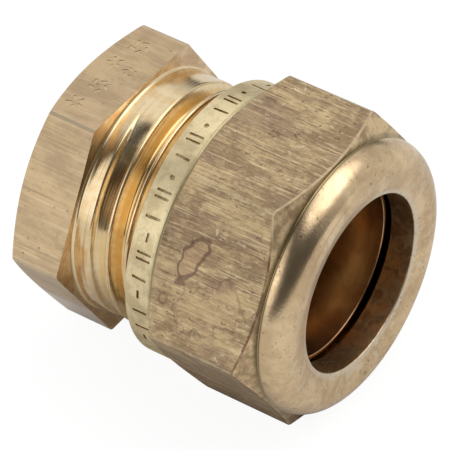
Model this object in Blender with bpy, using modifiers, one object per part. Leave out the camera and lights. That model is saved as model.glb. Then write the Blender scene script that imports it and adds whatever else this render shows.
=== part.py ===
"""Compression stop end for a 15 mm pipe: a blind threaded body, a compression ring and a coupling nut.

The fitting lies on one flat of its nut. Its axis runs along +X, from the closed end to the mouth,
and the origin is under its middle, on the surface that it lies on. Every piece is modelled about its
own axis, with distances along the axis counted from the closed end's face. Sizes are in metres.
"""
import bpy
import bmesh
from math import ceil, cos, floor, pi, radians, sin, tan

MM = 0.001

# Pipe and the clearances round it (radial)
PIPE_RADIUS = 7.5 * MM
SOCKET_CLEARANCE = 0.1 * MM
RING_CLEARANCE = 0.12 * MM
HOLE_CLEARANCE = 0.215 * MM

# Thread: the form and size of a G 1/2 pipe thread
THREAD_PITCH = 1.814 * MM
THREAD_DEPTH = 1.1615 * MM
THREAD_FLANK = radians(27.5)
THREAD_CLEARANCE = 0.15 * MM      # between the two threads, square to their flanks
FIRST_CREST = 0.22 * MM           # from the shoulder to the first crest, at the lowest line
THREAD_LAND = 0.08 * MM           # least width left between two ridges
STEPS_PER_TURN = 48

# Body
BODY_HEX_LENGTH = 5.3 * MM
BODY_HEX_TURN = radians(-1.32)    # the body's flats against the nut's
BODY_CHAMFER = radians(25)
BODY_CHAMFER_INSET = 0.2 * MM     # chamfer circle on the closed end, inside the flats
SHOULDER_STEP = 0.5225 * MM       # from the thread's crest out to the flats
SPIGOT_LENGTH = 11.9 * MM
BODY_WALL = 1.716 * MM            # from the socket out to the thread's root
SOCKET_DEPTH = 9.3 * MM           # from the body's mouth to the pipe stop
STOP_STEP = 1.1 * MM              # the ledge that the pipe stops on
END_WALL = 3.5 * MM
DRILL_POINT = 1.2 * MM
MOUTH_LIP = 0.5 * MM              # flat between the coned mouth and the thread's root
MOUTH_EDGE = 0.1 * MM             # how far the spigot's chamfer reaches inside the thread's root
MOUTH_CONE = radians(30)
SPIGOT_CHAMFER = radians(45)

# Compression ring
RING_LENGTH = 6.4 * MM
RING_WALL = 1.38 * MM
RING_EDGE = 0.33 * MM             # wall left at each end
RING_TAPER = radians(30)

# Nut
NUT_LENGTH = 15.06 * MM
NUT_WALL = 1.2425 * MM            # from the thread's root out to the collar
COLLAR_LENGTH = 2.62 * MM
NOSE_LENGTH = 2.4 * MM
FLAT_STEP = 0.03 * MM             # the flats stand proud of the collar by this
NOSE_STEP = 0.05 * MM             # and of the nose by this
NUT_REAR_CHAMFER = radians(30)
NUT_FRONT_CHAMFER = radians(27)
NOSE_ROUND = 2.2 * MM
NOSE_LAND = 0.8 * MM              # flat ring at the very front
NOSE_DISH = 0.41 * MM             # how far the hole's edge lies behind the front
NOSE_ROUND_START = radians(77.4)  # where the nose's round leaves that flat, from the outward direction
NOSE_FACETS = 6
SEAT_DEPTH = 2.66 * MM            # from the front to the small end of the seat
SEAT_CONE = radians(45)
THREAD_RUNOUT = 1.6 * MM          # nut thread past the body's mouth when hand tight
FADE_TURNS = 0.75                 # over which a tap's thread then fades out
COUNTERSINK = 0.3 * MM            # wider than the thread, at the nut's open end
BORE_EASE = 0.05 * MM             # the nut's bore outside the thread's root circle

# Fits and edges
PIECE_GAP = 0.3 * MM
HAND_TURNS = 0.5                  # turns left before the ring meets the body
HAND_GAP = 0.128 * MM             # left between the cones when those turns are used
CORNER_ROUND = 0.5 * MM
OVERRUN = 3 * MM                  # how far a cutter runs past what it cuts
OVERLAP = 0.75 * MM               # how far the nut's hexagon and its round ends run into each other
LEAD_IN_TURNS = 1.2               # and a threaded one before where its thread is wanted
HALF_STEP = pi / STEPS_PER_TURN   # turns a round form so that its edges miss those of the next one


def half_ridge(radius, offset=0.0):
    """Half the width of the thread's ridge at a radius, for a thread grown by offset."""
    middle = ROOT_RADIUS + THREAD_DEPTH / 2
    return THREAD_PITCH / 4 - (radius - middle) * tan(THREAD_FLANK) + offset / cos(THREAD_FLANK)


def groove_radius(offset):
    """The bottom of the groove, or where its two flanks are THREAD_LAND apart if that is further out."""
    root = ROOT_RADIUS + offset
    too_narrow = half_ridge(root, offset) - (THREAD_PITCH - THREAD_LAND) / 2
    return root + max(0.0, too_narrow) / tan(THREAD_FLANK)


# Sizes that follow
SOCKET_RADIUS = PIPE_RADIUS + SOCKET_CLEARANCE
RING_BORE_RADIUS = PIPE_RADIUS + RING_CLEARANCE
HOLE_RADIUS = PIPE_RADIUS + HOLE_CLEARANCE
ROOT_RADIUS = SOCKET_RADIUS + BODY_WALL
CREST_RADIUS = ROOT_RADIUS + THREAD_DEPTH
BODY_FLAT = CREST_RADIUS + SHOULDER_STEP
COLLAR_RADIUS = CREST_RADIUS + THREAD_CLEARANCE + NUT_WALL
NUT_FLAT = COLLAR_RADIUS + FLAT_STEP
NOSE_RADIUS = NUT_FLAT - NOSE_STEP
NUT_BORE_RADIUS = groove_radius(THREAD_CLEARANCE) + BORE_EASE
RING_RADIUS = RING_BORE_RADIUS + RING_WALL
RING_EDGE_RADIUS = RING_BORE_RADIUS + RING_EDGE
MOUTH_RADIUS = ROOT_RADIUS - MOUTH_LIP

# Places along the axis
SHOULDER = BODY_HEX_LENGTH
BODY_MOUTH = SHOULDER + SPIGOT_LENGTH
RING_TOUCH = BODY_MOUTH - (MOUTH_RADIUS - RING_EDGE_RADIUS) / tan(MOUTH_CONE)
RING_REAR = RING_TOUCH + HAND_GAP / sin(MOUTH_CONE) + HAND_TURNS * THREAD_PITCH
RING_FRONT = RING_REAR + RING_LENGTH
SEAT_TOP = RING_FRONT + (RING_EDGE_RADIUS - HOLE_RADIUS) / tan(SEAT_CONE) + PIECE_GAP / sin(SEAT_CONE)
NUT_FRONT = SEAT_TOP + SEAT_DEPTH
NUT_REAR = NUT_FRONT - NUT_LENGTH
FIRST_CREST_PLACE = SHOULDER + FIRST_CREST
NUT_THREAD_END = BODY_MOUTH + HAND_TURNS * THREAD_PITCH + THREAD_RUNOUT

OBJECT_NAME = "compression_fitting"


def clear_scene():
    for thing in list(bpy.data.objects):
        bpy.data.objects.remove(thing, do_unlink=True)


def new_collection(name):
    collection = bpy.data.collections.new(name)
    bpy.context.scene.collection.children.link(collection)
    return collection


def brass(name, colour, roughness):
    material = bpy.data.materials.new(name)
    material.use_nodes = True
    shader = material.node_tree.nodes["Principled BSDF"]
    shader.inputs["Base Color"].default_value = (*colour, 1.0)
    shader.inputs["Metallic"].default_value = 1.0
    shader.inputs["Roughness"].default_value = roughness
    return material


def add_object(name, mesh, collection, axis, material=None):
    thing = bpy.data.objects.new(name, mesh)
    collection.objects.link(thing)
    thing.parent = axis
    if material:
        mesh.materials.append(material)
    else:
        thing.hide_render = True
        thing.display_type = "WIRE"
    return thing


def turned(name, points, collection, axis, material=None, closed=False, turn=0.0):
    """A turned solid. An open profile starts and ends on the axis."""
    mesh = bpy.data.meshes.new(name)
    count = len(points)
    edges = [(i, (i + 1) % count) for i in range(count if closed else count - 1)]
    mesh.from_pydata([(radius, 0.0, place) for radius, place in points], edges, [])
    thing = add_object(name, mesh, collection, axis, material)
    thing.rotation_euler.z = turn
    screw = thing.modifiers.new("Turn", "SCREW")
    screw.axis = "Z"
    screw.angle = 2 * pi
    screw.steps = STEPS_PER_TURN
    screw.render_steps = STEPS_PER_TURN
    screw.use_merge_vertices = True
    screw.merge_threshold = 0.00001
    screw.use_smooth_shade = False
    return thing


def hexagon(name, flat, low, high, turn, collection, axis, material):
    """A hexagonal bar with rounded corners, one flat facing down before it is turned."""
    form = bmesh.new()
    corner = flat / cos(pi / 6)
    bmesh.ops.create_cone(form, cap_ends=True, segments=6, radius1=corner, radius2=corner,
                          depth=high - low)
    bmesh.ops.translate(form, verts=form.verts, vec=(0.0, 0.0, (high + low) / 2))
    corners = [edge for edge in form.edges if abs(edge.verts[0].co.z - edge.verts[1].co.z) > MM / 10]
    bmesh.ops.bevel(form, geom=corners, offset=CORNER_ROUND * tan(pi / 6), segments=3, profile=0.5,
                    affect="EDGES")
    mesh = bpy.data.meshes.new(name)
    form.to_mesh(mesh)
    form.free()
    bar = add_object(name, mesh, collection, axis, material)
    bar.rotation_euler.z = turn
    return bar


def cut(thing, tool, operation):
    boolean = thing.modifiers.new(tool.name, "BOOLEAN")
    boolean.operation = operation
    boolean.solver = "EXACT"
    boolean.object = tool


def threaded_rod(name, offset, low, high, fade_turns, collection, axis):
    """A rod with a right-hand thread, grown by offset square to its surface.

    It starts in a groove no higher than low. Its ridge is whole up to high, then fades out over
    fade_turns. Both ends are closed to the axis.
    """
    groove = groove_radius(offset)
    crest = CREST_RADIUS + offset
    turns_below = floor((low - FIRST_CREST_PLACE) / THREAD_PITCH - 0.5) + 0.5
    start = FIRST_CREST_PLACE + turns_below * THREAD_PITCH
    fading = ceil(fade_turns * STEPS_PER_TURN)
    steps = ceil(((high - start) / THREAD_PITCH - 0.5) * STEPS_PER_TURN) + fading

    form = bmesh.new()
    rows = []
    for step in range(steps + 1):
        turned_by = (step + 0.5) / STEPS_PER_TURN
        top = groove + (crest - groove) * min(1.0, (steps - step + 1) / (fading + 1))
        bottom = start + turned_by * THREAD_PITCH
        ridge = bottom + THREAD_PITCH / 2
        line = [(groove, bottom), (groove, ridge - half_ridge(groove, offset)),
                (top, ridge - half_ridge(top, offset)), (top, ridge + half_ridge(top, offset)),
                (groove, ridge + half_ridge(groove, offset))]
        if step > steps - STEPS_PER_TURN:
            line.append((groove, bottom + THREAD_PITCH))
        around = 2 * pi * turned_by
        rows.append([form.verts.new((radius * cos(around), radius * sin(around), place))
                     for radius, place in line])
    for step in range(steps - STEPS_PER_TURN + 1):
        rows[step].append(rows[step + STEPS_PER_TURN][0])
    for row, following in zip(rows, rows[1:]):
        for i in range(len(row) - 1):
            form.faces.new((row[i], following[i], following[i + 1], row[i + 1]))

    rims = [edge for edge in form.edges if edge.is_boundary]
    halfway = start + steps / STEPS_PER_TURN * THREAD_PITCH / 2
    for rim in ([edge for edge in rims if edge.verts[0].co.z < halfway],
                [edge for edge in rims if edge.verts[0].co.z >= halfway]):
        tip = form.verts.new((0.0, 0.0, sum(edge.verts[0].co.z for edge in rim) / len(rim)))
        for edge in rim:
            form.faces.new((edge.verts[0], edge.verts[1], tip))
    bmesh.ops.recalc_face_normals(form, faces=form.faces)
    mesh = bpy.data.meshes.new(name)
    form.to_mesh(mesh)
    form.free()
    return add_object(name, mesh, collection, axis)


def arc(centre_radius, centre_place, radius, first, last, pieces):
    """Points of a round, by angle from the outward direction towards the mouth."""
    angles = [first + (last - first) * i / pieces for i in range(pieces + 1)]
    return [(centre_radius + radius * cos(a), centre_place + radius * sin(a)) for a in angles]


def make_body(parts, tools, axis):
    body = hexagon("fitting_body", BODY_FLAT, 0.0, SHOULDER, BODY_HEX_TURN, parts, axis,
                   brass("body_brass", (0.62, 0.47, 0.27), 0.35))
    inset = BODY_FLAT - BODY_CHAMFER_INSET
    past_corner = BODY_FLAT / cos(pi / 6) + OVERRUN
    chamfer_height = (past_corner - inset) * tan(BODY_CHAMFER)
    envelope = turned("body_chamfer", [(0.0, SHOULDER + OVERRUN), (past_corner, SHOULDER + OVERRUN),
                                       (past_corner, chamfer_height), (inset, 0.0), (0.0, 0.0)],
                      tools, axis)
    cut(body, envelope, "INTERSECT")
    rod = threaded_rod("body_thread", 0.0, SHOULDER - LEAD_IN_TURNS * THREAD_PITCH,
                       BODY_MOUTH + THREAD_PITCH, 0.0, tools, axis)
    cut(body, rod, "UNION")

    socket_cone_depth = (MOUTH_RADIUS - SOCKET_RADIUS) / tan(MOUTH_CONE)
    stop = BODY_MOUTH - SOCKET_DEPTH
    outside = CREST_RADIUS + OVERRUN
    lip = ROOT_RADIUS - MOUTH_EDGE
    chamfer_depth = (outside - lip) * tan(SPIGOT_CHAMFER)
    far = BODY_MOUTH + THREAD_PITCH + 2 * OVERRUN
    blind_radius = SOCKET_RADIUS - STOP_STEP
    bore = turned("body_bore", [(0.0, far), (outside, far), (outside, BODY_MOUTH - chamfer_depth),
                                (lip, BODY_MOUTH), (MOUTH_RADIUS, BODY_MOUTH),
                                (SOCKET_RADIUS, BODY_MOUTH - socket_cone_depth),
                                (SOCKET_RADIUS, stop), (blind_radius, stop),
                                (blind_radius, END_WALL + DRILL_POINT), (0.0, END_WALL)], tools, axis)
    cut(body, bore, "DIFFERENCE")
    return body


def make_ring(parts, axis):
    taper = (RING_RADIUS - RING_EDGE_RADIUS) / tan(RING_TAPER)
    outline = [(RING_EDGE_RADIUS, RING_FRONT), (RING_RADIUS, RING_FRONT - taper),
               (RING_RADIUS, RING_REAR + taper), (RING_EDGE_RADIUS, RING_REAR),
               (RING_BORE_RADIUS, RING_REAR), (RING_BORE_RADIUS, RING_FRONT)]
    return turned("compression_ring", outline, parts, axis, brass("ring_brass", (0.70, 0.48, 0.22), 0.25),
                  closed=True)


def make_nut(parts, tools, axis):
    hex_rear = NUT_REAR + COLLAR_LENGTH
    hex_front = NUT_FRONT - NOSE_LENGTH
    rear_end = hex_rear - OVERLAP * tan(NUT_REAR_CHAMFER)
    front_end = hex_front + OVERLAP * tan(NUT_FRONT_CHAMFER)
    nut = hexagon("coupling_nut", NUT_FLAT, rear_end, front_end, 0.0, parts, axis,
                  brass("nut_brass", (0.55, 0.42, 0.26), 0.4))
    wide = NUT_FLAT / cos(pi / 6) + OVERRUN
    rise = wide - NUT_FLAT
    inside = (NUT_BORE_RADIUS + COLLAR_RADIUS) / 2
    envelope = turned("nut_chamfers", [(inside, front_end), (NUT_FLAT - OVERLAP, front_end),
                                       (wide, hex_front - rise * tan(NUT_FRONT_CHAMFER)),
                                       (wide, hex_rear + rise * tan(NUT_REAR_CHAMFER)),
                                       (NUT_FLAT - OVERLAP, rear_end), (inside, rear_end)],
                      tools, axis, closed=True, turn=HALF_STEP)
    cut(nut, envelope, "INTERSECT")

    crown = NOSE_RADIUS - NOSE_ROUND
    seat_length = (NUT_BORE_RADIUS - HOLE_RADIUS) / tan(SEAT_CONE)
    sink = CREST_RADIUS + THREAD_CLEARANCE + COUNTERSINK
    core = turned("nut_collar_and_nose",
                  [(HOLE_RADIUS, NUT_FRONT - NOSE_DISH), (crown - NOSE_LAND / 2, NUT_FRONT),
                   (crown + NOSE_LAND / 2, NUT_FRONT)]
                  + arc(crown, NUT_FRONT - NOSE_ROUND, NOSE_ROUND, NOSE_ROUND_START, 0.0, NOSE_FACETS)
                  + [(NOSE_RADIUS, hex_front - OVERLAP), (COLLAR_RADIUS, hex_front - 2 * OVERLAP),
                     (COLLAR_RADIUS, NUT_REAR), (sink, NUT_REAR),
                     (NUT_BORE_RADIUS, NUT_REAR + sink - NUT_BORE_RADIUS),
                     (NUT_BORE_RADIUS, SEAT_TOP - seat_length), (HOLE_RADIUS, SEAT_TOP)],
                  tools, axis, closed=True)
    cut(nut, core, "UNION")
    tap = threaded_rod("nut_thread", THREAD_CLEARANCE, NUT_REAR - LEAD_IN_TURNS * THREAD_PITCH,
                       NUT_THREAD_END, FADE_TURNS, tools, axis)
    cut(nut, tap, "DIFFERENCE")
    return nut


def main():
    clear_scene()
    parts = new_collection(OBJECT_NAME)
    tools = new_collection(OBJECT_NAME + "_cutters")
    axis = bpy.data.objects.new("fitting_axis", None)
    parts.objects.link(axis)
    axis.location = (-NUT_FRONT / 2, 0.0, NUT_FLAT)
    axis.rotation_euler.y = pi / 2
    make_body(parts, tools, axis)
    make_ring(parts, axis)
    make_nut(parts, tools, axis)


main()
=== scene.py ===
"""Compression stop end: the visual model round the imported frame.

Each CAD piece is replaced by a finer one, modelled about its own axis: x and y across it, z the place
along it from the closed end's face. The finished mesh is then put where the CAD piece lies.
"""
import bpy
import bmesh
from mathutils import Matrix, Vector
from math import ceil, cos, floor, hypot, pi, radians, sin, tan


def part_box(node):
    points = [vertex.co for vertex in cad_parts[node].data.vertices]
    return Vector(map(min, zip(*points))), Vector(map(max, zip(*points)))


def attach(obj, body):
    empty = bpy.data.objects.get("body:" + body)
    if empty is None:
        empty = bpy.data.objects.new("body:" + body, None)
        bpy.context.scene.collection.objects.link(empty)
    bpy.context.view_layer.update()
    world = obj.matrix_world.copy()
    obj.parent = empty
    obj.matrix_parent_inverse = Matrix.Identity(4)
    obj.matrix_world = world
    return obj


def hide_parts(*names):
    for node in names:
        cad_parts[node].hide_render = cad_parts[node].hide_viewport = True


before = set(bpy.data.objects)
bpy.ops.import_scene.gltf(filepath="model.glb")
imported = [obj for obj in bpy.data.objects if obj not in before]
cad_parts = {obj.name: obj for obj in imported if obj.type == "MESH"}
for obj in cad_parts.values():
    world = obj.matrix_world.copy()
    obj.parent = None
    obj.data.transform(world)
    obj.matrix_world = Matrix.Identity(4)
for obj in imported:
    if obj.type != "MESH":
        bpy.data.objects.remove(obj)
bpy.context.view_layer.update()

MM = 0.001

# Where the CAD pieces lie
BODY_LOW, BODY_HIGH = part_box("fitting_body")
NUT_LOW, NUT_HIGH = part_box("coupling_nut")
RING_LOW, RING_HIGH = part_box("compression_ring")
CLOSED_END = BODY_LOW[0]
AXIS_HEIGHT = (NUT_LOW[2] + NUT_HIGH[2]) / 2
BODY_MOUTH = BODY_HIGH[0] - CLOSED_END
NUT_REAR = NUT_LOW[0] - CLOSED_END
NUT_FRONT = NUT_HIGH[0] - CLOSED_END
RING_REAR = RING_LOW[0] - CLOSED_END
RING_FRONT = RING_HIGH[0] - CLOSED_END
NUT_FLAT = (NUT_HIGH[2] - NUT_LOW[2]) / 2
RING_RADIUS = (RING_HIGH[2] - RING_LOW[2]) / 2

# Sizes shared with the CAD
SHOULDER = 5.3 * MM
BODY_FLAT = 11.0 * MM
BODY_HEX_TURN = radians(-1.32)
BODY_CHAMFER = radians(25)
BODY_CHAMFER_INSET = 0.2 * MM
ROOT_RADIUS = 9.316 * MM
CREST_RADIUS = 10.4775 * MM
THREAD_PITCH = 1.814 * MM
THREAD_FLANK = radians(27.5)
FIRST_CREST = SHOULDER + 0.22 * MM
THREAD_CLEARANCE = 0.15 * MM
SOCKET_RADIUS = 7.6 * MM
MOUTH_RADIUS = 8.816 * MM
MOUTH_CONE = radians(30)
PIPE_STOP = BODY_MOUTH - 9.3 * MM
BLIND_RADIUS = 6.5 * MM
END_WALL = 3.5 * MM
DRILL_POINT = 1.2 * MM
RING_BORE = 7.62 * MM
RING_EDGE = 7.95 * MM
RING_TAPER = radians(30)
COLLAR_RADIUS = 11.87 * MM
COLLAR_END = NUT_REAR + 2.62 * MM
NOSE_RADIUS = 11.85 * MM
NOSE_START = NUT_FRONT - 2.4 * MM
NOSE_ROUND = 2.2 * MM
NOSE_LAND = 0.8 * MM
NOSE_DISH = 0.41 * MM
NUT_REAR_CHAMFER = radians(30)
NUT_FRONT_CHAMFER = radians(27)
HOLE_RADIUS = 7.715 * MM
SEAT_TOP = NUT_FRONT - 2.66 * MM
NUT_BORE = 9.516 * MM
TAP_CREST = 10.6275 * MM
NUT_THREAD_END = BODY_MOUTH + 2.507 * MM
COUNTERSINK = 0.3 * MM
HEX_CORNER = 1 / cos(pi / 6)        # a hexagon's corner radius for each unit from its axis to a flat

# Sizes of the finer model
CORNER_BREAK = 0.185 * MM
CREST_ROUND = 0.22 * MM
NECK_ROUND = 0.3 * MM
CREASE_DEPTH = 0.16 * MM
NOSE_SWEEP = radians(77.4)
ROUND_STEPS = 192
THREAD_STEPS = 128
FLANK_STEPS = 6
ARC_STEPS = 4
FILLET_STEPS = 8
NOSE_STEPS = 20
OVERLAP = 0.3 * MM                  # how far a piece that is joined on reaches into the other
PROUD = 0.01 * MM                   # keeps two round surfaces from lying exactly in each other
SHARP_ANGLE = radians(24)

# The run-out beside the shoulder, in turns of the thread: where it starts, how long it takes to drop to its
# floor, and how long it stays level. Then the floor's radius and slope.
RUNOUT_START = 0.53
RUNOUT_DROP = 0.05
RUNOUT_LEVEL = 0.30
RUNOUT_RADIUS = 9.80 * MM
RUNOUT_SLOPE = 0.40
RUNOUT_DEEPENS = 1.5 * (RUNOUT_RADIUS - ROOT_RADIUS)

# Plain marks in place of the stamped ones
MARK_BLOCK = 0.6 * MM
MARK_DEPTH = 0.12 * MM
MARK_PITCH = 1.75 * MM
MARK_LENGTH = 1.35 * MM
MARK_WIDTH = 0.24 * MM
MARK_COUNT = 26
FIRST_MARK = radians(110)
PAIR_GAP = 0.28 * MM
STAMP_DEPTH = 0.04 * MM
STAMP_STROKES = 5
# Stamps in the top flats, in millimetres: shift across, place and size
BODY_STAMPS = [(-3.9, 2.3, 0.62), (-1.3, 1.7, 0.5), (-0.9, 3.4, 0.45), (1.7, 2.3, 0.62), (4.3, 1.9, 0.55)]
NUT_STAMPS = [(-0.5, 6.6, 0.36)]

# For the materials, in millimetres: half the width of the nut's flats, and how far in the body's corners lie
HALF_FACE = 6.87
CORNER_SHIFT = 0.52
# Drops dried on the nut, in millimetres: place, shift across, half the length, half the width, tilt and
# strength
NUT_DROPS = [(17.3, 0.6, 2.15, 0.8, 1.22, 1.0), (19.9, -2.6, 3.3, 2.0, 0.5, 0.5),
             (15.6, -3.4, 0.45, 0.4, 0.0, 0.6)]

# The camera's lens, sensor and place, in millimetres, and its directions in the frame
LENS = 345.195
SENSOR = 36.0
CAMERA_PLACE = (156.032, -196.886, 254.051)
CAMERA_FORWARD = (-0.44789, 0.56363, -0.69405)
CAMERA_UP = (-0.36774, 0.59144, 0.71761)

# The floor: half its side in metres, its shade, how much of it the camera sees as white, and how bright
# that white is
FLOOR_HALF = 0.8
FLOOR_SHADE = (0.86, 0.86, 0.86, 1.0)
FLOOR_WHITE_SHARE = 0.86
FLOOR_GLOW = 1.08
WHITE = (1.0, 1.0, 1.0, 1.0)

# Soft lights round the object: azimuth and elevation, where each fades out and is full, and its strength
SOFT_LIGHTS = [
    (47, 68, 41, 20, 1.40),
    (58, 30, 56, 30, 0.58),
    (155, 32, 50, 22, 0.78),
    (-118, 24, 40, 16, 0.98),
    (-92, 25, 26, 8, 0.40),
]
DIM_STUDIO = 0.10


# ---------------------------------------------------------------- shapes

def rounded(points, pieces=5):
    """A closed outline of (radius, place) corners, each with an optional rounding radius."""
    outline = []
    count = len(points)
    for i, corner in enumerate(points):
        here = Vector(corner[:2])
        size = corner[2] if len(corner) > 2 else 0.0
        if not size:
            outline.append(tuple(here))
            continue
        back = Vector(points[i - 1][:2]) - here
        ahead = Vector(points[(i + 1) % count][:2]) - here
        half = back.angle(ahead) / 2
        reach = min(size / tan(half), 0.48 * back.length, 0.48 * ahead.length)
        radius = reach * tan(half)
        middle = here + (back.normalized() + ahead.normalized()).normalized() * (radius / sin(half))
        first = here + back.normalized() * reach - middle
        last = here + ahead.normalized() * reach - middle
        sweep = first.angle_signed(last)
        for k in range(pieces + 1):
            spot = first.copy()
            spot.rotate(Matrix.Rotation(-sweep * k / pieces, 2))
            outline.append(tuple(middle + spot))
    return outline


def new_object(name, form):
    """Puts a bmesh into the scene, with its faces turned outwards."""
    bmesh.ops.recalc_face_normals(form, faces=form.faces)
    mesh = bpy.data.meshes.new(name)
    form.to_mesh(mesh)
    form.free()
    thing = bpy.data.objects.new(name, mesh)
    bpy.context.scene.collection.objects.link(thing)
    return thing


def turned(name, outline, turn=0.0):
    """A solid turned from a closed outline of (radius, place)."""
    form = bmesh.new()
    angles = [2 * pi * (i + turn) / ROUND_STEPS for i in range(ROUND_STEPS)]
    rings = []
    for radius, place in outline:
        if radius < MM / 1000:
            rings.append([form.verts.new((0.0, 0.0, place))] * ROUND_STEPS)
        else:
            rings.append([form.verts.new((radius * cos(a), radius * sin(a), place)) for a in angles])
    for one, two in zip(rings, rings[1:] + rings[:1]):
        for i in range(ROUND_STEPS):
            j = (i + 1) % ROUND_STEPS
            corners = list(dict.fromkeys((one[i], one[j], two[j], two[i])))
            if len(corners) > 2:
                form.faces.new(corners)
    return new_object(name, form)


def hexagon(name, flat, low, high, turn=0.0):
    """A hexagonal bar with its corners broken."""
    form = bmesh.new()
    corner = flat * HEX_CORNER
    bmesh.ops.create_cone(form, cap_ends=True, segments=6, radius1=corner, radius2=corner,
                          depth=high - low, matrix=Matrix.Rotation(turn, 4, "Z"))
    bmesh.ops.translate(form, verts=form.verts, vec=(0.0, 0.0, (high + low) / 2))
    edges = [edge for edge in form.edges if abs(edge.verts[0].co.z - edge.verts[1].co.z) > MM]
    bmesh.ops.bevel(form, geom=edges, offset=CORNER_BREAK, segments=1, affect="EDGES")
    return new_object(name, form)


def thread_outline(offset):
    """One pitch of the thread, (radius, place from its groove), grown by offset square to its surface."""
    lean = pi / 2 - THREAD_FLANK
    low = ROOT_RADIUS + CREST_ROUND
    high = CREST_RADIUS - CREST_ROUND
    inner = CREST_ROUND - offset
    outer = CREST_ROUND + offset
    arc = [lean * i / ARC_STEPS for i in range(ARC_STEPS + 1)]
    root = [(low - inner * cos(a), inner * sin(a)) for a in arc]
    crest = [(high + outer * cos(a), THREAD_PITCH / 2 - outer * sin(a)) for a in reversed(arc)]
    flank = [tuple(Vector(root[-1]).lerp(Vector(crest[0]), i / FLANK_STEPS)) for i in range(1, FLANK_STEPS)]
    half = root + flank + crest
    return half + [(radius, THREAD_PITCH - place) for radius, place in half[-2:0:-1]]


def threaded(name, offset, low, high, least=None, fade_turns=0.0):
    """A rod with a rounded right-hand thread, whose end fades out over fade_turns. least gives the smallest
    radius, from how many turns on from the first groove's start a point is, and how far it lies from the
    middle of its groove."""
    outline = thread_outline(offset)
    turns_below = floor((low - FIRST_CREST) / THREAD_PITCH - 0.5) + 0.5
    start = FIRST_CREST + turns_below * THREAD_PITCH
    fading = ceil(fade_turns * THREAD_STEPS)
    steps = ceil(((high - start) / THREAD_PITCH - 0.5) * THREAD_STEPS) + fading
    groove = ROOT_RADIUS + offset

    form = bmesh.new()
    rows = []
    for step in range(steps + 1):
        turned_by = (step + 0.5) / THREAD_STEPS
        around = 2 * pi * turned_by
        whole = min(1.0, (steps - step + 1) / (fading + 1))
        line = list(outline)
        if step > steps - THREAD_STEPS:
            line.append((groove, THREAD_PITCH))
        row = []
        for radius, along in line:
            radius = groove + (radius - groove) * whole
            if least:
                later = along > THREAD_PITCH / 2
                turns = turned_by + turns_below - 0.5 + later
                radius = max(radius, least(turns, along - later * THREAD_PITCH))
            place = start + turned_by * THREAD_PITCH + along
            row.append(form.verts.new((radius * cos(around), radius * sin(around), place)))
        rows.append(row)
    for step in range(steps - THREAD_STEPS + 1):
        rows[step].append(rows[step + THREAD_STEPS][0])
    for row, following in zip(rows, rows[1:]):
        for i in range(len(row) - 1):
            form.faces.new((row[i], following[i], following[i + 1], row[i + 1]))
    rims = [edge for edge in form.edges if edge.is_boundary]
    halfway = start + steps / THREAD_STEPS * THREAD_PITCH / 2
    for rim in ([edge for edge in rims if edge.verts[0].co.z < halfway],
                [edge for edge in rims if edge.verts[0].co.z >= halfway]):
        tip = form.verts.new((0.0, 0.0, sum(edge.verts[0].co.z for edge in rim) / len(rim)))
        for edge in rim:
            form.faces.new((edge.verts[0], edge.verts[1], tip))
    return new_object(name, form)


def carve(thing, tool, operation):
    """Cuts thing with tool, or joins them, and removes the tool."""
    boolean = thing.modifiers.new("Carve", "BOOLEAN")
    boolean.operation = operation
    boolean.solver = "EXACT"
    boolean.object = tool
    bpy.context.view_layer.update()
    mesh = bpy.data.meshes.new_from_object(thing.evaluated_get(bpy.context.evaluated_depsgraph_get()))
    thing.modifiers.clear()
    thing.data = mesh
    bpy.data.objects.remove(tool, do_unlink=True)


def marks(name, strokes, base):
    """Small blocks whose middles lie base from the axis. Each stroke is its turn about the axis, its shift
    across, its place, length, width and tilt."""
    form = bmesh.new()
    for around, across, place, length, width, tilt in strokes:
        lift = Matrix.Rotation(around, 4, "Z") @ Matrix.Translation((base, across, place))
        lie = Matrix.Rotation(tilt, 4, "X") @ Matrix.Diagonal((MARK_BLOCK, width, length, 1.0))
        block = bmesh.ops.create_cube(form, size=1.0, matrix=lift @ lie)
        upright = Vector((cos(around), sin(around), 0.0))
        corners = {edge for vert in block["verts"] for edge in vert.link_edges
                   if abs((edge.verts[0].co - edge.verts[1].co).dot(upright)) > MARK_BLOCK / 2}
        bmesh.ops.bevel(form, geom=sorted(corners, key=lambda edge: edge.index),
                        offset=min(width, length) * 0.35, segments=2, profile=0.5, affect="EDGES")
    return new_object(name, form)


# ---------------------------------------------------------------- pieces

def runout(turns, off_middle):
    """The first half turn of the thread is only a shallow cut with a flat, sloping floor. It ends before the
    shoulder, and reaches the full depth in its second turn."""
    if turns < RUNOUT_START:
        return CREST_RADIUS
    into = min(1.0, (turns - RUNOUT_START) / RUNOUT_DROP)
    later = max(0.0, (turns - RUNOUT_START - RUNOUT_LEVEL) / (1 - RUNOUT_LEVEL))
    floor_radius = RUNOUT_RADIUS - RUNOUT_SLOPE * off_middle - RUNOUT_DEEPENS * later
    return CREST_RADIUS + (floor_radius - CREST_RADIUS) * into


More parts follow.
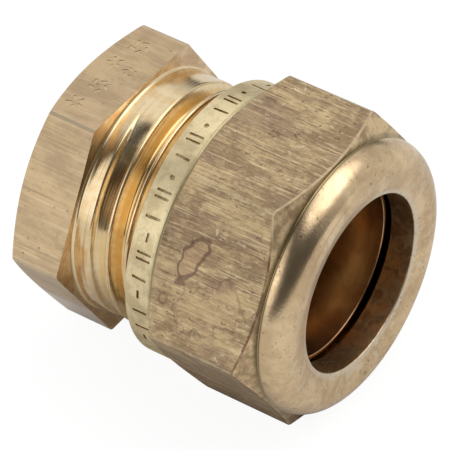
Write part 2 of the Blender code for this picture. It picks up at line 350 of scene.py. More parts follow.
def make_body():
    body = hexagon("fitting_body_detail", BODY_FLAT, 0.0, SHOULDER, BODY_HEX_TURN)
    inset = BODY_FLAT - BODY_CHAMFER_INSET
    far = BODY_FLAT * HEX_CORNER + 3 * MM
    slope = (far - inset) * tan(BODY_CHAMFER)
    chamfers = [(0.0, SHOULDER + MM), (far, SHOULDER + MM), (far, slope), (inset, 0.0), (0.0, 0.0)]
    carve(body, turned("chamfers", chamfers), "INTERSECT")
    carve(body, marks("stamps", stamp_strokes(BODY_STAMPS, pi + BODY_HEX_TURN, 0.0),
                      BODY_FLAT + MARK_BLOCK / 2 - STAMP_DEPTH), "DIFFERENCE")
    rod = threaded("rod", 0.0, SHOULDER - 1.2 * THREAD_PITCH, BODY_MOUTH + THREAD_PITCH, runout)
    carve(body, rod, "UNION")
    neck = CREST_RADIUS - 0.4 * MM
    proud = CREST_RADIUS + PROUD
    top = SHOULDER + NECK_ROUND
    fillet = [(proud + NECK_ROUND * (1 - sin(a)), top - NECK_ROUND * cos(a))
              for a in (pi / 2 * i / FILLET_STEPS for i in range(FILLET_STEPS))]
    fillet = ([(neck, SHOULDER - OVERLAP), (proud + NECK_ROUND, SHOULDER - OVERLAP)] + fillet
              + [(proud, top), (proud, top + 0.06 * MM), (neck, top + 0.2 * MM)])
    carve(body, turned("fillet", fillet, 0.5), "UNION")
    outside = CREST_RADIUS + 2 * MM
    lip = ROOT_RADIUS - 0.1 * MM
    cone = (MOUTH_RADIUS - SOCKET_RADIUS) / tan(MOUTH_CONE)
    end = BODY_MOUTH + 3 * THREAD_PITCH
    bore = rounded([(0.0, end), (outside, end), (outside, BODY_MOUTH - (outside - lip)),
                    (lip, BODY_MOUTH, 0.06 * MM), (MOUTH_RADIUS, BODY_MOUTH, 0.08 * MM),
                    (SOCKET_RADIUS, BODY_MOUTH - cone, 0.2 * MM), (SOCKET_RADIUS, PIPE_STOP, 0.12 * MM),
                    (BLIND_RADIUS, PIPE_STOP, 0.08 * MM), (BLIND_RADIUS, END_WALL + DRILL_POINT, 0.3 * MM),
                    (0.0, END_WALL)])
    carve(body, turned("bore", bore), "DIFFERENCE")
    return body


def collar_strokes():
    """Bars, pairs of bars, dashes and dots in turn. They spell nothing."""
    middle = (NUT_REAR + COLLAR_END) / 2 + 0.05 * MM
    pitch = MARK_PITCH / COLLAR_RADIUS
    pair = PAIR_GAP / COLLAR_RADIUS
    strokes = []
    for i in range(MARK_COUNT):
        turn = FIRST_MARK + (i + 0.08 * sin(i * 2.3)) * pitch
        place = middle + 0.07 * MM * sin(i * 1.7)
        kind = (i * 3 + i // 4) % 5
        if kind < 2:
            strokes.append((turn, 0.0, place, MARK_LENGTH, MARK_WIDTH, 0.05 * sin(i)))
        elif kind == 2:
            strokes += [(turn + side * pair, 0.0, place, MARK_LENGTH, MARK_WIDTH * 0.9, 0.0)
                        for side in (-1, 1)]
        elif kind == 3:
            strokes.append((turn, 0.0, place, MARK_WIDTH, MARK_LENGTH * 0.6, 0.0))
        else:
            strokes.append((turn, 0.0, place, MARK_WIDTH * 1.7, MARK_WIDTH * 1.7, 0.0))
    return strokes


def stamp_strokes(stamps, turn, start):
    """A rosette of short strokes for each stamp."""
    strokes = []
    for number, (across, place, size) in enumerate(stamps):
        for i in range(STAMP_STROKES):
            lean = 2 * pi * (i + 0.3 * number) / STAMP_STROKES
            strokes.append((turn, (across + size * sin(lean)) * MM, start + (place + size * cos(lean)) * MM,
                            size * 0.95 * MM, size * 0.42 * MM, -lean + 0.9 * (number % 3 - 1)))
    return strokes


def make_ring():
    taper = (RING_RADIUS - RING_EDGE) / tan(RING_TAPER)
    edge = 0.07 * MM
    return turned("compression_ring_detail",
                  rounded([(RING_EDGE, RING_FRONT, edge), (RING_RADIUS, RING_FRONT - taper, 0.5 * MM),
                           (RING_RADIUS, RING_REAR + taper, 0.5 * MM), (RING_EDGE, RING_REAR, edge),
                           (RING_BORE, RING_REAR, edge), (RING_BORE, RING_FRONT, edge)]))


def make_nut():
    nut = hexagon("coupling_nut_detail", NUT_FLAT, NUT_REAR - MM, NUT_FRONT + MM)
    wide = NUT_FLAT * HEX_CORNER + 2 * MM
    rise = wide - NUT_FLAT
    crown = NOSE_RADIUS - NOSE_ROUND
    bend = [(crown + NOSE_ROUND * cos(a), NUT_FRONT - NOSE_ROUND + NOSE_ROUND * sin(a))
            for a in (NOSE_SWEEP * (1 - i / NOSE_STEPS) for i in range(NOSE_STEPS))]
    sink = TAP_CREST + COUNTERSINK
    seat = NUT_BORE - HOLE_RADIUS
    crease = NOSE_RADIUS - CREASE_DEPTH
    waist = COLLAR_RADIUS - 0.05 * MM
    front = [(HOLE_RADIUS, NUT_FRONT - NOSE_DISH, 0.16 * MM), (crown - NOSE_LAND / 2, NUT_FRONT, 1.6 * MM),
             (crown + NOSE_LAND / 2, NUT_FRONT, 0.3 * MM)]
    foot = [(NOSE_RADIUS, NOSE_START + 0.34 * MM, 0.1 * MM), (crease, NOSE_START + 0.24 * MM, 0.08 * MM),
            (crease, NOSE_START + 0.1 * MM, 0.1 * MM),
            (NOSE_RADIUS + 0.12 * MM, NOSE_START - 0.02 * MM, 0.2 * MM)]
    cones = [(wide, NOSE_START - rise * tan(NUT_FRONT_CHAMFER)),
             (wide, COLLAR_END + rise * tan(NUT_REAR_CHAMFER))]
    collar = [(waist, COLLAR_END - 0.01 * MM, 0.06 * MM), (waist, COLLAR_END - 0.1 * MM, 0.05 * MM),
              (COLLAR_RADIUS, COLLAR_END - 0.18 * MM, 0.05 * MM), (COLLAR_RADIUS, NUT_REAR, 0.14 * MM)]
    inside = [(sink, NUT_REAR, 0.06 * MM), (NUT_BORE, NUT_REAR + sink - NUT_BORE),
              (NUT_BORE, SEAT_TOP - seat), (HOLE_RADIUS, SEAT_TOP, 0.06 * MM)]
    carve(nut, turned("lathe", rounded(front + bend + foot + cones + collar + inside), 0.5), "INTERSECT")
    carve(nut, threaded("tap", THREAD_CLEARANCE, NUT_REAR - 1.2 * THREAD_PITCH, NUT_THREAD_END, None, 0.75),
          "DIFFERENCE")
    carve(nut, marks("collar_marks", collar_strokes(), COLLAR_RADIUS + MARK_BLOCK / 2 - MARK_DEPTH),
          "DIFFERENCE")
    carve(nut, marks("nut_stamps", stamp_strokes(NUT_STAMPS, pi, NUT_REAR),
                     NUT_FLAT + MARK_BLOCK / 2 - STAMP_DEPTH), "DIFFERENCE")
    return nut


def finish_mesh(thing, node, body):
    mesh = thing.data
    mesh.transform(Matrix.Translation((CLOSED_END, 0.0, AXIS_HEIGHT)) @ Matrix.Rotation(pi / 2, 4, "Y"))
    mesh.shade_smooth()
    mesh.set_sharp_from_angle(angle=SHARP_ANGLE)
    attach(thing, body)
    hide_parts(node)


# ---------------------------------------------------------------- materials

class Brass:
    """A brass finish drawn with nodes. Its coordinates are millimetres from the fitting's axis."""

    def __init__(self, name, rough):
        self.material = bpy.data.materials.new(name)
        self.material.use_nodes = True
        self.tree = self.material.node_tree
        self.shader = self.tree.nodes["Principled BSDF"]
        self.shader.inputs["Metallic"].default_value = 1.0
        self.shader.inputs["Roughness"].default_value = rough
        self.seed = sum(ord(letter) for letter in name)
        shift = self.node("ShaderNodeVectorMath", operation="SUBTRACT")
        self.join(self.node("ShaderNodeTexCoord").outputs["Object"], shift.inputs[0])
        shift.inputs[1].default_value = (CLOSED_END, 0.0, AXIS_HEIGHT)
        scale = self.node("ShaderNodeVectorMath", operation="SCALE")
        self.join(shift.outputs[0], scale.inputs[0])
        scale.inputs["Scale"].default_value = 1 / MM
        self.spot = scale.outputs[0]
        split = self.node("ShaderNodeSeparateXYZ")
        self.join(self.spot, split.inputs[0])
        self.along, self.across, self.height = split.outputs
        self.out = self.math("SQRT", self.math("ADD", self.math("MULTIPLY", self.across, self.across),
                                               self.math("MULTIPLY", self.height, self.height)))
        self.around = self.math("ARCTAN2", self.across, self.height)
        wrap = self.node("ShaderNodeCombineXYZ")
        self.join(self.along, wrap.inputs[0])
        self.join(self.out, wrap.inputs[1])
        self.join(self.math("MULTIPLY", self.around, 10.0), wrap.inputs[2])
        self.wrapped = wrap.outputs[0]

    def node(self, kind, **settings):
        made = self.tree.nodes.new(kind)
        for key, value in settings.items():
            setattr(made, key, value)
        return made

    def join(self, value, socket):
        if isinstance(value, bpy.types.NodeSocket):
            self.tree.links.new(value, socket)
        else:
            socket.default_value = value

    def math(self, operation, one, two=0.0):
        made = self.node("ShaderNodeMath", operation=operation)
        self.join(one, made.inputs[0])
        self.join(two, made.inputs[1])
        return made.outputs[0]

    def noise(self, stretch, detail=3.0, rough=0.5, at=None, bend=0.0):
        """Noise from 0 to 1. stretch is how many blobs there are in a millimetre, on each axis."""
        scale = self.node("ShaderNodeVectorMath", operation="MULTIPLY_ADD")
        self.join(self.spot if at is None else at, scale.inputs[0])
        scale.inputs[1].default_value = stretch
        self.seed += 7
        scale.inputs[2].default_value = (self.seed % 31, self.seed % 17, self.seed % 23)
        made = self.node("ShaderNodeTexNoise")
        self.join(scale.outputs[0], made.inputs["Vector"])
        made.inputs["Scale"].default_value = 1.0
        made.inputs["Detail"].default_value = detail
        made.inputs["Roughness"].default_value = rough
        made.inputs["Distortion"].default_value = bend
        return made.outputs["Fac"]

    def level(self, value, low, high, first=0.0, last=1.0):
        """first where value is low or less, last where it is high or more, and smooth between."""
        made = self.node("ShaderNodeMapRange", interpolation_type="SMOOTHSTEP")
        for socket, number in zip(made.inputs, (value, low, high, first, last)):
            self.join(number, socket)
        return made.outputs[0]

    def near(self, value, middle, width):
        """1 where value is close to middle, fading to 0 at width from it."""
        away = self.math("ABSOLUTE", self.math("SUBTRACT", value, middle))
        return self.level(away, width * 0.4, width, 1.0, 0.0)

    def both(self, one, two):
        return self.math("MULTIPLY", one, two)

    def mix(self, factor, one, two):
        made = self.node("ShaderNodeMix", data_type="RGBA")
        self.join(factor, made.inputs[0])
        for socket, colour in ((made.inputs[6], one), (made.inputs[7], two)):
            self.join(colour if isinstance(colour, bpy.types.NodeSocket) else (*colour, 1.0), socket)
        return made.outputs[2]

    def finish(self, colour, rough, height, depth):
        """Joins up the shader. depth is how far in millimetres a height of 1 stands out."""
        self.join(colour, self.shader.inputs["Base Color"])
        self.join(rough, self.shader.inputs["Roughness"])
        bump = self.node("ShaderNodeBump")
        bump.inputs["Strength"].default_value = 1.0
        bump.inputs["Distance"].default_value = depth * MM
        self.join(height, bump.inputs["Height"])
        self.join(bump.outputs[0], self.shader.inputs["Normal"])
        return self.material


def from_corner(brass, turn=0.0):
    """Millimetres along a hexagon's flat from its nearest corner, at the flats' own distance."""
    sector = brass.math("ADD", brass.math("MULTIPLY", brass.around, 3 / pi), 0.5 + turn * 3 / pi)
    inside = brass.math("SUBTRACT", brass.math("FRACT", sector), 0.5)
    along = brass.math("MULTIPLY", brass.math("SINE", brass.math("MULTIPLY", inside, pi / 3)), brass.out)
    return brass.math("SUBTRACT", HALF_FACE, brass.math("ABSOLUTE", along))


def drawn_streaks(brass):
    """Fine lines along the axis, as drawing a bar through a die leaves."""
    thin = brass.noise((0.1, 6.0, 6.0), 4.0, 0.65)
    thick = brass.noise((0.05, 1.6, 1.6), 3.0, 0.55)
    return brass.math("ADD", brass.both(thin, 0.6), brass.both(thick, 0.4))


def dried_drop(brass, place, across, long, wide, tilt, wobble):
    """The edge and the inside of a drop's outline on the nut's upper side flat."""
    ahead = brass.math("SUBTRACT", brass.along, place)
    up = brass.math("ADD", brass.both(brass.across, 0.5), brass.both(brass.height, cos(pi / 6)))
    up = brass.math("SUBTRACT", up, across)
    one = brass.math("ADD", brass.both(ahead, cos(tilt) / long), brass.both(up, sin(tilt) / long))
    two = brass.math("SUBTRACT", brass.both(up, cos(tilt) / wide), brass.both(ahead, sin(tilt) / wide))
    away = brass.math("SQRT", brass.math("ADD", brass.both(one, one), brass.both(two, two)))
    away = brass.math("ADD", away, brass.both(brass.math("SUBTRACT", wobble, 0.5), 1.6))
    near_side = brass.level(brass.across, -5.0, -4.0, 1.0, 0.0)
    rim = brass.near(away, 1.0, 0.16 / wide)
    return brass.both(rim, near_side), brass.both(brass.level(away, 0.85, 1.0, 1.0, 0.0), near_side)


def nut_flats():
    brass = Brass("nut_flats_patina", 0.42)
    streaks = brass.noise((0.24, 6.5, 6.5), 5.0, 0.75)
    flecks = brass.noise((2.2, 7.0, 7.0), 4.0, 0.7)
    blots = brass.noise((0.8, 1.1, 1.1), 5.0, 0.7, bend=0.5)
    clouds = brass.noise((0.15, 0.22, 0.22), 5.0, 0.66, bend=0.6)
    shade = brass.math("ADD", brass.math("ADD", brass.both(clouds, 0.36), brass.both(blots, 0.18)),
                       brass.math("ADD", brass.both(streaks, 0.28), brass.both(flecks, 0.18)))
    patina = brass.level(shade, 0.44, 0.555)
    colour = brass.mix(patina, (0.63, 0.475, 0.265), (0.345, 0.238, 0.14))
    mauve = brass.level(brass.noise((0.13, 0.24, 0.24), 4.0, 0.6), 0.50, 0.60)
    colour = brass.mix(brass.both(mauve, 0.5), colour, (0.285, 0.188, 0.135))
    light_lines = brass.level(brass.noise((0.25, 5.0, 5.0), 3.0, 0.6), 0.59, 0.65)
    colour = brass.mix(brass.both(light_lines, 0.5), colour, (0.88, 0.71, 0.44))
    dark_lines = brass.level(brass.noise((0.3, 5.0, 5.0), 3.0, 0.6), 0.60, 0.66)
    colour = brass.mix(brass.both(dark_lines, 0.5), colour, (0.17, 0.11, 0.065))
    pale = brass.level(brass.noise((0.8, 1.2, 1.2), 5.0, 0.7, bend=0.6), 0.61, 0.66)
    colour = brass.mix(brass.both(pale, 0.5), colour, (0.84, 0.72, 0.48))
    # drops that dried on one side left a brown line round their edge
    wobble = brass.noise((0.7, 0.7, 0.7), 1.5, 0.5)
    for place, across, long, wide, tilt, strength in NUT_DROPS:
        rim, inside = dried_drop(brass, place, across, long, wide, tilt, wobble)
        colour = brass.mix(brass.both(inside, 0.45 * strength), colour, (0.58, 0.39, 0.23))
        colour = brass.mix(brass.both(rim, 0.75 * strength), colour, (0.19, 0.115, 0.08))
    specks = brass.level(brass.noise((2.0, 2.8, 2.8), 2.0, 0.6), 0.66, 0.70)
    colour = brass.mix(brass.both(specks, 0.7), colour, (0.14, 0.095, 0.065))
    worn = brass.level(brass.math("ADD", from_corner(brass), brass.both(blots, 0.5)), 0.28, 0.5, 1.0, 0.0)
    colour = brass.mix(brass.both(worn, 0.5), colour, (0.82, 0.66, 0.42))
    # a burr line where each chamfer meets the flats, with a painted highlight on the upper flats and painted
    # shade on the side flats
    past = brass.math("MULTIPLY", brass.math("SUBTRACT", brass.out, NOSE_RADIUS / MM), tan(NUT_FRONT_CHAMFER))
    burr = brass.level(brass.math("ADD", brass.along, past), NOSE_START / MM - 0.24, NOSE_START / MM - 0.12)
    upper_flats_lit = brass.level(brass.height, 9.0, 11.8)
    burr_highlight_shade = brass.mix(upper_flats_lit, (0.17, 0.09, 0.045), (0.66, 0.52, 0.33))
    colour = brass.mix(brass.both(burr, brass.level(blots, 0.35, 0.6, 0.5, 0.9)), colour, burr_highlight_shade)
    rough = brass.level(shade, 0.42, 0.58, 0.34, 0.50)
    return brass.finish(colour, rough, brass.math("ADD", streaks, flecks), 0.04)


def nut_collar():
    brass = Brass("nut_collar_matt", 0.42)
    turning = brass.noise((5.0, 5.0, 0.06), 3.0, 0.6, brass.wrapped)
    clouds = brass.noise((0.5, 0.5, 0.5), 5.0, 0.65)
    grain = brass.noise((5.0, 5.0, 5.0), 3.0, 0.6)
    colour = brass.mix(brass.level(clouds, 0.40, 0.62), (0.86, 0.72, 0.44), (0.66, 0.53, 0.31))
    freckles = brass.level(grain, 0.60, 0.68)
    colour = brass.mix(brass.both(freckles, 0.35), colour, (0.42, 0.33, 0.18))
    # painted shade along the collar's end, in the corner where the rear chamfer starts
    edge = brass.level(brass.along, (COLLAR_END / MM) - 0.45, (COLLAR_END / MM) - 0.1)
    colour = brass.mix(brass.both(edge, 0.6), colour, (0.36, 0.31, 0.17))
    stamped = brass.level(brass.out, (COLLAR_RADIUS / MM) - 0.09, (COLLAR_RADIUS / MM) - 0.015, 1.0, 0.0)
    fill = brass.level(brass.noise((1.5, 1.5, 1.5), 3.0, 0.6), 0.35, 0.6, 0.45, 0.9)
    colour = brass.mix(brass.both(stamped, fill), colour, (0.24, 0.16, 0.07))
    rough = brass.level(grain, 0.3, 0.7, 0.34, 0.5)
    return brass.finish(colour, rough, brass.math("ADD", turning, grain), 0.018)


def nut_cones():
    brass = Brass("nut_chamfers_dull", 0.38)
    turning = brass.noise((1.5, 6.0, 0.08), 4.0, 0.6, brass.wrapped)
    clouds = brass.noise((0.6, 0.6, 0.6), 5.0, 0.65)
    grain = brass.noise((4.0, 4.0, 4.0), 3.0, 0.6)
    colour = brass.mix(brass.level(clouds, 0.40, 0.60), (0.76, 0.56, 0.33), (0.42, 0.295, 0.165))
    colour = brass.mix(brass.both(brass.level(grain, 0.56, 0.66), 0.4), colour, (0.24, 0.17, 0.10))
    # painted shade along the inner edge of each chamfer, in the creases by the nose and the collar
    crease = brass.level(brass.out, (NOSE_RADIUS / MM) + 0.1, (NOSE_RADIUS / MM) + 0.35, 1.0, 0.0)
    colour = brass.mix(brass.both(crease, 0.5), colour, (0.26, 0.22, 0.12))
    rough = brass.level(clouds, 0.3, 0.7, 0.3, 0.42)
    return brass.finish(colour, rough, brass.math("ADD", turning, grain), 0.016)


def nut_nose():
    brass = Brass("nut_nose_satin", 0.24)
    turning = brass.noise((1.0, 7.0, 0.05), 4.0, 0.6, brass.wrapped)
    clouds = brass.noise((0.35, 0.35, 0.35), 5.0, 0.62, bend=0.4)
    grain = brass.noise((5.0, 5.0, 5.0), 3.0, 0.6)
    colour = brass.mix(brass.level(clouds, 0.38, 0.62), (0.82, 0.62, 0.38), (0.64, 0.465, 0.275))
    front = brass.level(brass.out, 9.9, 10.8, 1.0, 0.0)
    tarnish = brass.level(brass.noise((1.0, 1.0, 1.0), 5.0, 0.7), 0.50, 0.64)
    colour = brass.mix(brass.both(tarnish, 0.3), colour, (0.46, 0.32, 0.18))
    # pale blotches run out from the hole, over the flat front only
    flow = brass.level(brass.noise((0.9, 0.8, 0.9), 5.0, 0.66, bend=1.2), 0.55, 0.60)
    low = brass.level(brass.height, -5.0, 4.0, 0.55, 0.2)
    colour = brass.mix(brass.both(brass.both(flow, front), low), colour, (0.82, 0.73, 0.56))
    rim = brass.level(brass.math("ADD", brass.out, brass.both(grain, 0.6)), 8.25, 8.6, 1.0, 0.0)
    colour = brass.mix(brass.both(rim, 0.6), colour, (0.76, 0.69, 0.56))
    # painted shade in the crease at the nose's foot
    foot = brass.level(brass.along, (NOSE_START / MM) + 0.25, (NOSE_START / MM) + 0.5, 1.0, 0.0)
    colour = brass.mix(brass.both(foot, 0.75), colour, (0.24, 0.20, 0.11))
    specks = brass.level(brass.noise((2.4, 2.4, 2.4), 2.0, 0.6), 0.66, 0.70)
    colour = brass.mix(brass.both(specks, 0.6), colour, (0.20, 0.13, 0.07))
    rough = brass.math("ADD", brass.level(clouds, 0.3, 0.7, 0.17, 0.24), brass.both(front, 0.12))
    return brass.finish(colour, rough, brass.math("ADD", brass.both(turning, 0.5), grain), 0.010)


def nut_hole():
    brass = Brass("nut_hole_oxide", 0.34)
    clouds = brass.noise((0.8, 0.6, 0.6), 6.0, 0.7, bend=0.6)
    turning = brass.noise((5.0, 1.0, 0.06), 3.0, 0.6, brass.wrapped)
    # the hole's wall has darker brown colours: painted shade for the deep hole
    colour = brass.mix(brass.level(clouds, 0.42, 0.58), (0.76, 0.50, 0.27), (0.38, 0.25, 0.13))
    olive = brass.level(brass.noise((0.7, 0.6, 0.6), 5.0, 0.65, bend=0.8), 0.52, 0.60)
    colour = brass.mix(brass.both(olive, 0.6), colour, (0.72, 0.58, 0.36))
    return brass.finish(colour, brass.level(clouds, 0.3, 0.7, 0.28, 0.45), turning, 0.014)


def bright_thread(name, light, dark, rough):
    brass = Brass(name, rough)
    turning = brass.noise((9.0, 9.0, 0.05), 3.0, 0.6, brass.wrapped)
    coarse = brass.noise((3.2, 1.0, 0.04), 3.0, 0.6, brass.wrapped)
    chatter = brass.noise((0.8, 0.8, 1.6), 2.0, 0.5, brass.wrapped)
    shade = brass.math("ADD", brass.both(chatter, 0.5), brass.both(coarse, 0.5))
    colour = brass.mix(brass.level(shade, 0.38, 0.62), light, dark)
    lines = brass.level(brass.noise((4.0, 4.0, 0.04), 3.0, 0.6, brass.wrapped), 0.57, 0.62)
    colour = brass.mix(brass.both(lines, 0.45), colour, (dark[0] * 0.5, dark[1] * 0.4, dark[2] * 0.3))
    # painted shade in the grooves, darker and more orange
    groove = brass.level(brass.out, 9.85, 10.0, 1.0, 0.0)
    colour = brass.mix(brass.both(groove, 0.5), colour, (dark[0] * 0.95, dark[1] * 0.84, dark[2] * 0.55))
    # and a painted dark reflection and shade in the first groove, part of the way round
    first_groove_dark_reflection = brass.both(brass.level(brass.out, 9.95, 10.1, 1.0, 0.0), brass.near(brass.height, 6.3, 2.6))
    first_groove_dark_reflection = brass.both(first_groove_dark_reflection, brass.level(brass.along, 8.1, 8.3, 1.0, 0.0))
    stripes = brass.level(brass.noise((5.0, 5.0, 0.04), 3.0, 0.6, brass.wrapped), 0.42, 0.58, 0.45, 0.95)
    colour = brass.mix(brass.both(first_groove_dark_reflection, stripes), colour, (dark[0] * 0.55, dark[1] * 0.38, dark[2] * 0.22))
    height = brass.math("ADD", turning, brass.both(coarse, 1.5))
    return brass.finish(colour, brass.level(turning, 0.3, 0.7, rough * 0.7, rough * 1.5), height, 0.010)


def ring_finish():
    brass = Brass("ring_turned", 0.24)
    turning = brass.noise((6.0, 6.0, 0.04), 3.0, 0.6, brass.wrapped)
    fine = brass.noise((2.6, 2.6, 0.03), 3.0, 0.6, brass.wrapped)
    clouds = brass.noise((0.5, 0.5, 0.5), 4.0, 0.6)
    colour = brass.mix(brass.level(clouds, 0.40, 0.60), (0.74, 0.50, 0.29), (0.58, 0.37, 0.20))
    near_front = brass.level(brass.along, RING_FRONT / MM - 1.6, RING_FRONT / MM)
    lines = brass.both(brass.level(fine, 0.54, 0.60), near_front)
    colour = brass.mix(brass.both(lines, 0.6), colour, (0.95, 0.74, 0.42))
    # painted shade on the ring's faces outside its bore, which lie back in the nut's hole
    outside = brass.level(brass.out, RING_BORE / MM + 0.12, RING_BORE / MM + 0.22)
    colour = brass.mix(brass.both(outside, 0.6), colour, (0.34, 0.21, 0.10))
    return brass.finish(colour, 0.26, turning, 0.003)


def body_hexagon():
    brass = Brass("body_flats_drawn", 0.38)
    streaks = drawn_streaks(brass)
    clouds = brass.noise((0.2, 0.35, 0.35), 5.0, 0.66, bend=0.4)
    mottle = brass.noise((1.0, 1.5, 1.5), 5.0, 0.7)
    shade = brass.math("ADD", brass.both(streaks, 0.35), brass.both(mottle, 0.20))
    shade = brass.math("ADD", brass.both(clouds, 0.45), shade)
    colour = brass.mix(brass.level(shade, 0.42, 0.58), (0.64, 0.475, 0.28), (0.47, 0.345, 0.21))
    rosy = brass.level(brass.noise((0.12, 0.25, 0.25), 3.0, 0.6), 0.48, 0.62)
    colour = brass.mix(brass.both(rosy, 0.5), colour, (0.58, 0.395, 0.255))
    dark_lines = brass.level(brass.noise((0.10, 3.6, 3.6), 3.0, 0.6), 0.62, 0.67)
    colour = brass.mix(brass.both(dark_lines, 0.4), colour, (0.30, 0.215, 0.14))
    light_lines = brass.level(brass.noise((0.12, 3.2, 3.2), 3.0, 0.6), 0.62, 0.67)
    colour = brass.mix(brass.both(light_lines, 0.35), colour, (0.80, 0.65, 0.44))
    specks = brass.level(brass.noise((1.8, 2.4, 2.4), 2.0, 0.6), 0.69, 0.73)
    colour = brass.mix(brass.both(specks, 0.6), colour, (0.20, 0.14, 0.09))
    inward = brass.math("SUBTRACT", from_corner(brass, BODY_HEX_TURN), CORNER_SHIFT)
    edge = brass.level(inward, 0.1, 0.5, 1.0, 0.0)
    colour = brass.mix(brass.both(edge, 0.35), colour, (0.80, 0.66, 0.45))
    # the stamps in the top flat are a little paler
    rise = brass.math("SUBTRACT", brass.both(brass.height, cos(BODY_HEX_TURN)),
                      brass.both(brass.across, sin(BODY_HEX_TURN)))
    depth = brass.math("SUBTRACT", BODY_FLAT / MM, rise)
    stamped = brass.both(brass.level(depth, 0.012, 0.035), brass.level(depth, 0.1, 0.2, 1.0, 0.0))
    colour = brass.mix(brass.both(stamped, 0.35), colour, (0.78, 0.64, 0.42))
    # a painted reflection of the pale floor on the underside, silvery and paler
    underside_floor_reflection = brass.level(brass.math("ADD", brass.height, brass.both(clouds, 2.0)), -6.5, -4.5, 1.0, 0.0)
    colour = brass.mix(brass.both(underside_floor_reflection, 0.75), colour, (0.86, 0.79, 0.72))
    rough = brass.level(streaks, 0.3, 0.7, 0.30, 0.42)
    return brass.finish(colour, rough, brass.math("ADD", streaks, brass.both(mottle, 0.5)), 0.03)


def body_shoulder():
    brass = Brass("body_shoulder_turned", 0.28)
    turning = brass.noise((1.0, 8.0, 0.05), 4.0, 0.6, brass.wrapped)
    clouds = brass.noise((0.5, 0.5, 0.5), 4.0, 0.6)
    colour = brass.mix(brass.level(clouds, 0.40, 0.60), (0.86, 0.66, 0.42), (0.66, 0.46, 0.27))
    return brass.finish(colour, brass.level(turning, 0.3, 0.7, 0.2, 0.36), turning, 0.014)


def body_end():
    brass = Brass("body_end_sawn", 0.35)
    turning = brass.noise((2.0, 5.0, 0.05), 4.0, 0.6, brass.wrapped)
    clouds = brass.noise((0.3, 0.3, 0.3), 5.0, 0.65)
    colour = brass.mix(brass.level(clouds, 0.36, 0.66), (0.72, 0.56, 0.33), (0.56, 0.42, 0.25))
    return brass.finish(colour, brass.level(turning, 0.3, 0.7, 0.26, 0.42), turning, 0.015)


def paint(thing, zones, zone_of):
    """Gives each face the material of its zone. zone_of takes a face's place, radius and lean."""
    names = list(zones)
    mesh = thing.data
    mesh.materials.clear()
    for name in names:
        mesh.materials.append(zones[name])
    for face in mesh.polygons:
        x, y, place = face.center
        face.material_index = names.index(zone_of(place, hypot(x, y), face.normal.z))


def nut_zone(place, radius, lean):
    if radius < HOLE_RADIUS + 0.25 * MM and abs(lean) < 0.4:
        return "hole"
    if radius < TAP_CREST + 0.35 * MM and place < SEAT_TOP + 0.1 * MM and place > NUT_REAR + 0.005 * MM:
        return "thread"
    if place > NOSE_START + 0.05 * MM and radius < NOSE_RADIUS + 0.01 * MM:
        return "nose"
    if place < COLLAR_END - 0.05 * MM:
        return "collar"
    if abs(lean) < 0.1 and radius > COLLAR_RADIUS - 0.01 * MM:
        return "flats"
    return "cones"


def body_zone(place, radius, lean):
    if place > SHOULDER + 0.02 * MM:
        return "thread"
    if abs(lean) < 0.1 and radius > CREST_RADIUS + 0.1 * MM:
        return "hexagon"
    if lean > 0.9 and place > SHOULDER - 0.05 * MM:
        return "shoulder"
    if lean < -0.3 and place < 3 * MM and radius > MM / 10:
        return "end"
    return "bore"


# ---------------------------------------------------------------- the set

def add_camera():
    """The camera that took the photo, as solved from the object's edges."""
    data = bpy.data.cameras.new("view_camera")
    data.lens = LENS
    data.sensor_width = SENSOR
    camera = bpy.data.objects.new("view_camera", data)
    bpy.context.scene.collection.objects.link(camera)
    forward = Vector(CAMERA_FORWARD).normalized()
    up = Vector(CAMERA_UP).normalized()
    right = forward.cross(up).normalized()
    up = right.cross(forward)
    turn = Matrix((right, up, -forward)).transposed()
    camera.matrix_world = Matrix.Translation(Vector(CAMERA_PLACE) * MM) @ turn.to_4x4()
    bpy.context.scene.camera = camera


def add_floor():
    """A white floor. The camera sees little of its shading, so the background stays white."""
    form = bmesh.new()
    bmesh.ops.create_grid(form, x_segments=1, y_segments=1, size=FLOOR_HALF)
    floor_piece = new_object("floor", form)
    material = bpy.data.materials.new("floor_white")
    material.use_nodes = True
    tree = material.node_tree
    shader = tree.nodes["Principled BSDF"]
    shader.inputs["Base Color"].default_value = FLOOR_SHADE
    shader.inputs["Roughness"].default_value = 1.0
    shader.inputs["Specular IOR Level"].default_value = 0.0
    glow = tree.nodes.new("ShaderNodeEmission")
    seen = tree.nodes.new("ShaderNodeLightPath")
    share = tree.nodes.new("ShaderNodeMath")
    share.operation = "MULTIPLY"
    share.inputs[1].default_value = FLOOR_WHITE_SHARE
    blend = tree.nodes.new("ShaderNodeMixShader")
    tree.links.new(seen.outputs["Is Camera Ray"], share.inputs[0])
    tree.links.new(share.outputs[0], blend.inputs[0])
    tree.links.new(shader.outputs[0], blend.inputs[1])
    tree.links.new(glow.outputs[0], blend.inputs[2])
    tree.links.new(blend.outputs[0], tree.nodes["Material Output"].inputs["Surface"])
    glow.inputs["Strength"].default_value = FLOOR_GLOW
    floor_piece.data.materials.append(material)


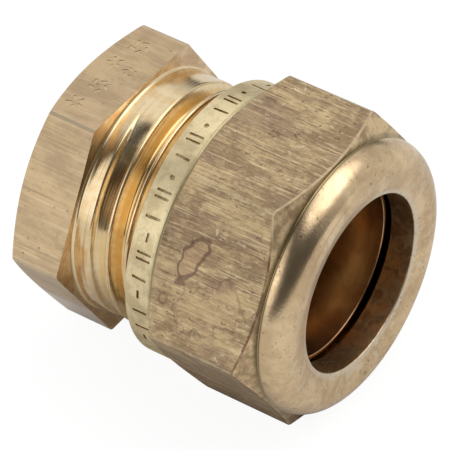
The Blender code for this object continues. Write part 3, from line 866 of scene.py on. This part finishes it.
def add_world():
    """Soft round lights in a dim studio. The camera sees white behind the object."""
    world = bpy.data.worlds.new("studio")
    world.use_nodes = True
    tree = world.node_tree
    way = tree.nodes.new("ShaderNodeTexCoord").outputs["Generated"]
    total = None
    for azimuth, elevation, out, full, strength in SOFT_LIGHTS:
        a, e = radians(azimuth), radians(elevation)
        dot = tree.nodes.new("ShaderNodeVectorMath")
        dot.operation = "DOT_PRODUCT"
        tree.links.new(way, dot.inputs[0])
        dot.inputs[1].default_value = (cos(e) * cos(a), cos(e) * sin(a), sin(e))
        fade = tree.nodes.new("ShaderNodeMapRange")
        fade.interpolation_type = "SMOOTHSTEP"
        tree.links.new(dot.outputs["Value"], fade.inputs[0])
        limits = (cos(radians(out)), cos(radians(full)), 0.0, strength)
        for socket, number in zip(fade.inputs[1:5], limits):
            socket.default_value = number
        add = tree.nodes.new("ShaderNodeMath")
        tree.links.new(fade.outputs[0], add.inputs[0])
        if total:
            tree.links.new(total, add.inputs[1])
        else:
            add.inputs[1].default_value = DIM_STUDIO
        total = add.outputs[0]
    studio = tree.nodes["Background"]
    tree.links.new(total, studio.inputs["Strength"])
    white = tree.nodes.new("ShaderNodeBackground")
    blend = tree.nodes.new("ShaderNodeMixShader")
    tree.links.new(tree.nodes.new("ShaderNodeLightPath").outputs["Is Camera Ray"], blend.inputs[0])
    tree.links.new(studio.outputs[0], blend.inputs[1])
    tree.links.new(white.outputs[0], blend.inputs[2])
    tree.links.new(blend.outputs[0], tree.nodes["World Output"].inputs["Surface"])
    studio.inputs["Color"].default_value = WHITE
    white.inputs["Color"].default_value = WHITE
    bpy.context.scene.world = world


add_camera()
body = make_body()
ring = make_ring()
nut = make_nut()
body_thread = bright_thread("body_thread_bright", (0.90, 0.73, 0.46), (0.82, 0.60, 0.33), 0.13)
body_bore = bright_thread("body_bore_bright", (0.62, 0.42, 0.22), (0.50, 0.32, 0.15), 0.26)
nut_thread = bright_thread("nut_thread_bright", (0.86, 0.68, 0.38), (0.76, 0.57, 0.30), 0.15)
paint(body, {"hexagon": body_hexagon(), "shoulder": body_shoulder(), "end": body_end(),
             "thread": body_thread, "bore": body_bore}, body_zone)
paint(ring, {"ring": ring_finish()}, lambda place, radius, lean: "ring")
paint(nut, {"flats": nut_flats(), "collar": nut_collar(), "cones": nut_cones(), "nose": nut_nose(),
            "hole": nut_hole(), "thread": nut_thread}, nut_zone)
finish_mesh(body, "fitting_body", "body")
finish_mesh(ring, "compression_ring", "ring")
finish_mesh(nut, "coupling_nut", "nut")
add_floor()
add_world()
bpy.context.scene.view_settings.view_transform = "Standard"
